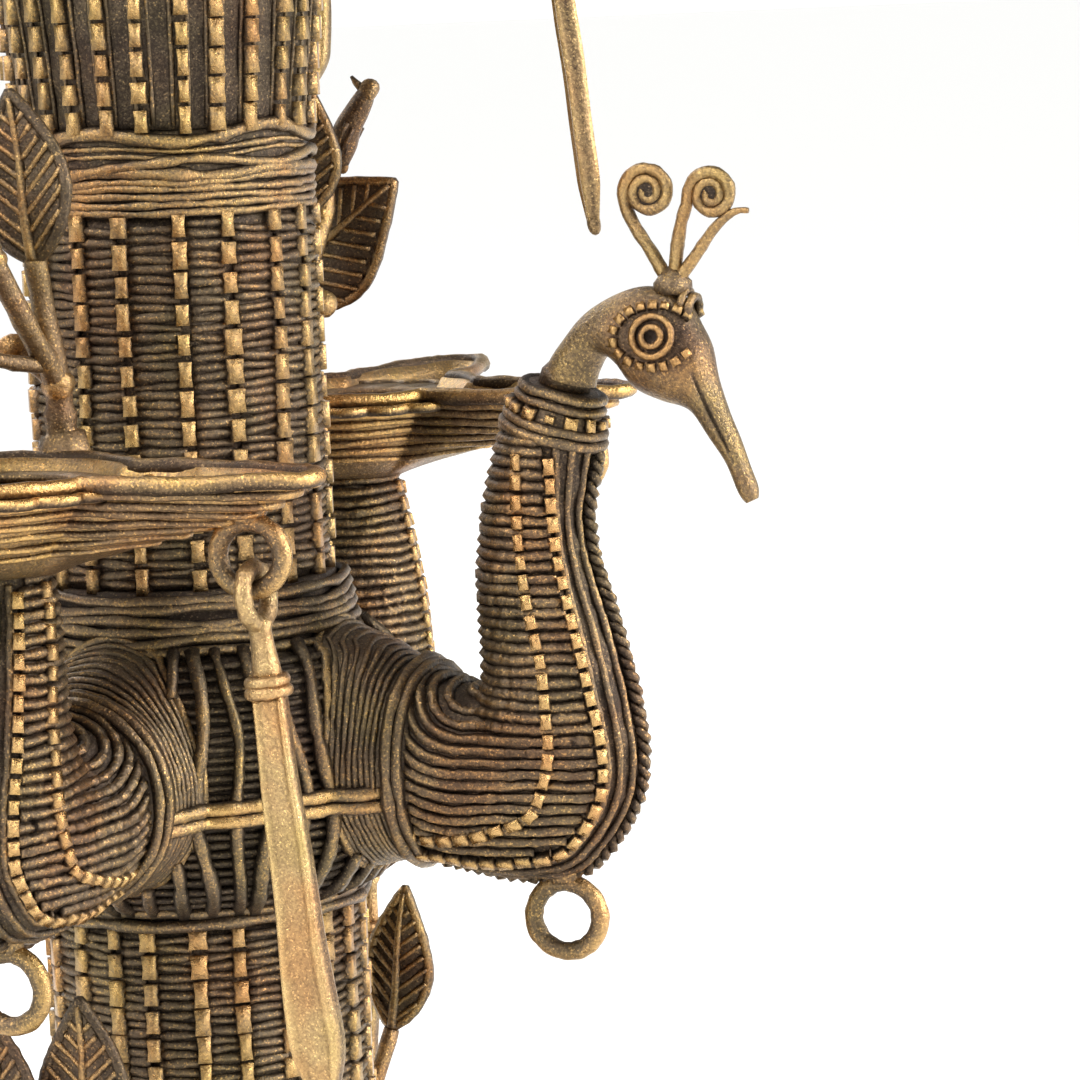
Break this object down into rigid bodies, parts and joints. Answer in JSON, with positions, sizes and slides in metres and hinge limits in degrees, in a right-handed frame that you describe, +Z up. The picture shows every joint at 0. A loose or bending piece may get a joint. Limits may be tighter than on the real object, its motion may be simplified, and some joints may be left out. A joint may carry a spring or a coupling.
{
  "type": "standing oil lamp",
  "caption": "Tall cast brass oil lamp: thread-textured trunk on a domed foot, tiers of peacock arms and arms with boat-shaped oil bowls, leafy branches, hanging bars, crown bowl with a peacock.",
  "frame": {"origin": "centre of the foot's resting face, under the trunk's axis", "axes": "+Z up along the trunk; +X along the arm of the right peacock; -Y along the front lamp arm"},
  "size_m": [0.1574, 0.183, 0.4571],
  "materials": {
    "dark_brass": "dark antique patina with rubbed high points",
    "worn_brass": "antique patina, sandy casting grain, rubbed high points",
    "brown_brass": "brown antique patina, sandy casting grain",
    "bright_brass": "rubbed brass with dark edges",
    "steel": "plain mild steel"
  },
  "bodies": {
    "stand": {"base_foot": "dark_brass", "base_collar": "dark_brass", "lower_trunk": "dark_brass", "lower_belly": "dark_brass", "middle_trunk": "dark_brass", "trunk_band": "dark_brass", "flared_trunk": "dark_brass", "upper_belly": "dark_brass", "top_trunk": "dark_brass", "crown_bowl": "brown_brass", "finial_peacock": "worn_brass", "tie_rod": "steel", "base_washer": "steel", "base_nut": "steel", "lower_right_peacock_arm": "worn_brass", "lower_left_peacock_arm": "worn_brass", "upper_right_peacock_arm": "worn_brass", "upper_left_peacock_arm": "worn_brass", "lower_right_peacock_head": "worn_brass", "lower_left_peacock_head": "worn_brass", "upper_right_peacock_head": "worn_brass", "upper_left_peacock_head": "worn_brass", "lower_right_crest": "worn_brass", "lower_left_crest": "worn_brass", "upper_right_crest": "worn_brass", "upper_left_crest": "worn_brass", "lower_front_lamp_arm": "worn_brass", "lower_rear_lamp_arm": "worn_brass", "upper_front_lamp_arm": "worn_brass", "upper_rear_lamp_arm": "worn_brass", "lower_front_bowl": "brown_brass", "lower_rear_bowl": "brown_brass", "upper_front_bowl": "brown_brass", "upper_rear_bowl": "brown_brass", "lower_front_spout_eyelets": "worn_brass", "lower_rear_spout_eyelets": "worn_brass", "upper_front_spout_eyelets": "worn_brass", "upper_rear_spout_eyelets": "worn_brass", "lower_front_branch": "brown_brass", "lower_rear_branch": "brown_brass", "upper_front_branch": "brown_brass", "upper_rear_branch": "brown_brass", "lower_front_leaves": "worn_brass", "lower_rear_leaves": "worn_brass", "upper_front_leaves": "worn_brass", "upper_rear_leaves": "worn_brass", "lower_front_bird": "worn_brass", "lower_rear_bird": "worn_brass", "upper_front_bird": "worn_brass", "upper_rear_bird": "worn_brass", "trunk_front_branch": "brown_brass", "trunk_rear_branch": "brown_brass", "trunk_front_leaves": "worn_brass", "trunk_rear_leaves": "worn_brass"},
    "front_spout_pendant": {"front_spout_pendant": "bright_brass"},
    "rear_spout_pendant": {"rear_spout_pendant": "bright_brass"},
    "rear_chest_pendant": {"rear_chest_pendant": "bright_brass"},
    "right_peacock_pendant": {"right_peacock_pendant": "bright_brass"},
    "left_peacock_pendant": {"left_peacock_pendant": "bright_brass"},
    "upper_rear_pendant": {"upper_rear_pendant": "bright_brass"}
  },
  "joints": [
    {"name": "front_spout_pendant_swing", "type": "hinge", "parent": "stand", "child": "front_spout_pendant", "pos_m": [0.0344, -0.049, 0.20982], "axis": [0.9952, 0, 0.0976], "range_deg": [-60, 30]},
    {"name": "rear_spout_pendant_swing", "type": "hinge", "parent": "stand", "child": "rear_spout_pendant", "pos_m": [-0.0344, 0.049, 0.20982], "axis": [0.9952, 0, -0.0976], "range_deg": [-30, 60]},
    {"name": "rear_chest_pendant_swing", "type": "hinge", "parent": "stand", "child": "rear_chest_pendant", "pos_m": [-0.00044, 0.051, 0.15702], "axis": [0.9952, 0, -0.0976], "range_deg": [-12, 60]},
    {"name": "right_peacock_pendant_swing", "type": "hinge", "parent": "stand", "child": "right_peacock_pendant", "pos_m": [0.05151, 0, 0.30903], "axis": [0.9936, 0, 0.1132], "range_deg": [-60, 60]},
    {"name": "left_peacock_pendant_swing", "type": "hinge", "parent": "stand", "child": "left_peacock_pendant", "pos_m": [-0.05151, 0, 0.30903], "axis": [0.9936, 0, -0.1132], "range_deg": [-60, 60]},
    {"name": "upper_rear_pendant_swing", "type": "hinge", "parent": "stand", "child": "upper_rear_pendant", "pos_m": [-0.00044, 0.051, 0.30902], "axis": [0.9952, 0, -0.0976], "range_deg": [-15, 60]}
  ]
}
